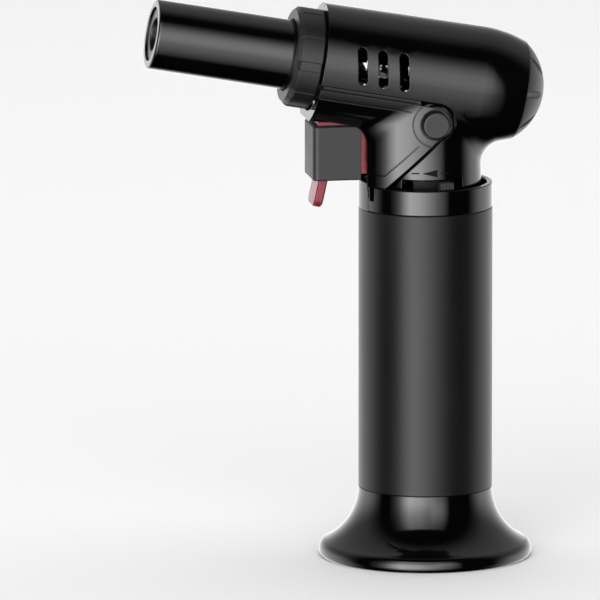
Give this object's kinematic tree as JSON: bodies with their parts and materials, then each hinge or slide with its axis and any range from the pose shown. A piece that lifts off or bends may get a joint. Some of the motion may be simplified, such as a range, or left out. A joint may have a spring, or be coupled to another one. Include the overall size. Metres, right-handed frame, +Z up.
{
  "type": "butane torch",
  "caption": "Hand-held gas torch for jewellery making: flared foot, metal handle with fuel tank, tilted burner, sliding trigger, safety lever, lock button and gas adjuster.",
  "frame": {"origin": "centre of the foot's resting face, on the axis of the handle", "axes": "+Z up along the handle, the nozzle points to -X and rises, the lock button faces -Y"},
  "size_m": [0.1285, 0.068, 0.1822],
  "materials": {
    "black_gloss": "high gloss moulded",
    "nozzle_enamel": "black gloss enamel",
    "sleeve_graphite": "satin graphite anodised",
    "matte_black": "matte moulded",
    "trigger_grey": "fine textured matte",
    "red_plastic": "moulded, semi-gloss",
    "button_black": "satin moulded",
    "adjuster_grey": "satin moulded",
    "brass": "machined",
    "steel": "plain",
    "chrome": "bright plated",
    "tank_resin": "natural moulded",
    "rubber_black": "plain",
    "mount_zinc": "die cast, plain",
    "igniter_plastic": "plain moulded",
    "wire_jacket": "silicone jacket",
    "ceramic": "glazed ceramic"
  },
  "bodies": {
    "torch_body": {"base_plate": "matte_black", "base_screws": "steel", "burner_head": "brass", "burner_mesh": "steel", "burner_mount": "mount_zinc", "collar": "black_gloss", "electrode": "steel", "electrode_insulator": "ceramic", "fill_valve_body": "brass", "fill_valve_nut": "brass", "fill_valve_seal": "rubber_black", "fill_valve_spring": "steel", "flame_tube": "steel", "foot": "black_gloss", "front_spine": "black_gloss", "fuel_tank": "tank_resin", "gas_hose": "rubber_black", "gas_jet": "brass", "gas_valve_body": "brass", "gas_valve_spring": "steel", "handle_sleeve": "sleeve_graphite", "housing_left": "black_gloss", "housing_right": "black_gloss", "housing_screws": "steel", "lever_pin": "steel", "lock_button_spring": "steel", "mixer_tube": "chrome", "nozzle_tube": "nozzle_enamel", "pickup_tube": "igniter_plastic", "piezo_body": "igniter_plastic", "rear_cap": "matte_black", "side_cover_left": "black_gloss", "side_cover_right": "black_gloss", "spark_wire": "wire_jacket", "tank_lid": "tank_resin", "tank_seal": "rubber_black", "trigger_return_spring": "steel"},
    "trigger_body": {"trigger": "trigger_grey", "trigger_carriage": "red_plastic", "piezo_plunger": "igniter_plastic", "safety_pin": "steel"},
    "safety_body": {"safety_lever": "red_plastic"},
    "lock_body": {"lock_button": "button_black"},
    "adjuster_body": {"gas_adjust_wheel": "adjuster_grey"},
    "air_ring_body": {"air_ring": "matte_black"},
    "fill_stem_body": {"fill_valve_stem": "brass"},
    "rocker_body": {"valve_lever": "adjuster_grey"},
    "valve_stem_body": {"gas_valve_stem": "brass"}
  },
  "joints": [
    {"name": "trigger_pull", "type": "slide", "parent": "torch_body", "child": "trigger_body", "axis": [1, 0, 0], "range_m": [0, 0.005], "stiffness_N_per_m": 1500, "deforming": ["trigger_return_spring"]},
    {"name": "safety_swing", "type": "hinge", "parent": "trigger_body", "child": "safety_body", "pos_m": [-0.0315, 0, 0.135], "axis": [0, -1, 0], "range_deg": [0, 14], "stiffness_Nm_per_rad": 0.05},
    {"name": "lock_press", "type": "slide", "parent": "torch_body", "child": "lock_body", "axis": [0, 1, 0], "range_m": [0, 0.0018], "stiffness_N_per_m": 800, "deforming": ["lock_button_spring"]},
    {"name": "gas_adjust", "type": "hinge", "parent": "torch_body", "child": "adjuster_body", "pos_m": [0, 0, 0.1205], "axis": [0, 0, 1], "range_deg": [-32, 13]},
    {"name": "air_ring_turn", "type": "hinge", "parent": "torch_body", "child": "air_ring_body", "pos_m": [0, 0, 0.1552], "axis": [-0.9839, 0, 0.1788], "range_deg": [-40, 40]},
    {"name": "fill_valve_press", "type": "slide", "parent": "torch_body", "child": "fill_stem_body", "axis": [0, 0, 1], "range_m": [0, 0.0015], "stiffness_N_per_m": 800, "deforming": ["fill_valve_spring"]},
    {"name": "valve_lever_swing", "type": "hinge", "parent": "torch_body", "child": "rocker_body", "pos_m": [0.0046, 0, 0.1246], "axis": [0, 1, 0], "range_deg": [0, 9.55]},
    {"name": "valve_stem_lift", "type": "slide", "parent": "torch_body", "child": "valve_stem_body", "axis": [0, 0, 1], "range_m": [0, 0.00106], "deforming": ["gas_valve_spring"]}
  ],
  "couplings": [
    {"joint": "valve_lever_swing", "follows": "trigger_pull", "rad_per_m": 33.336},
    {"joint": "valve_stem_lift", "follows": "trigger_pull", "ratio": 0.212}
  ]
}
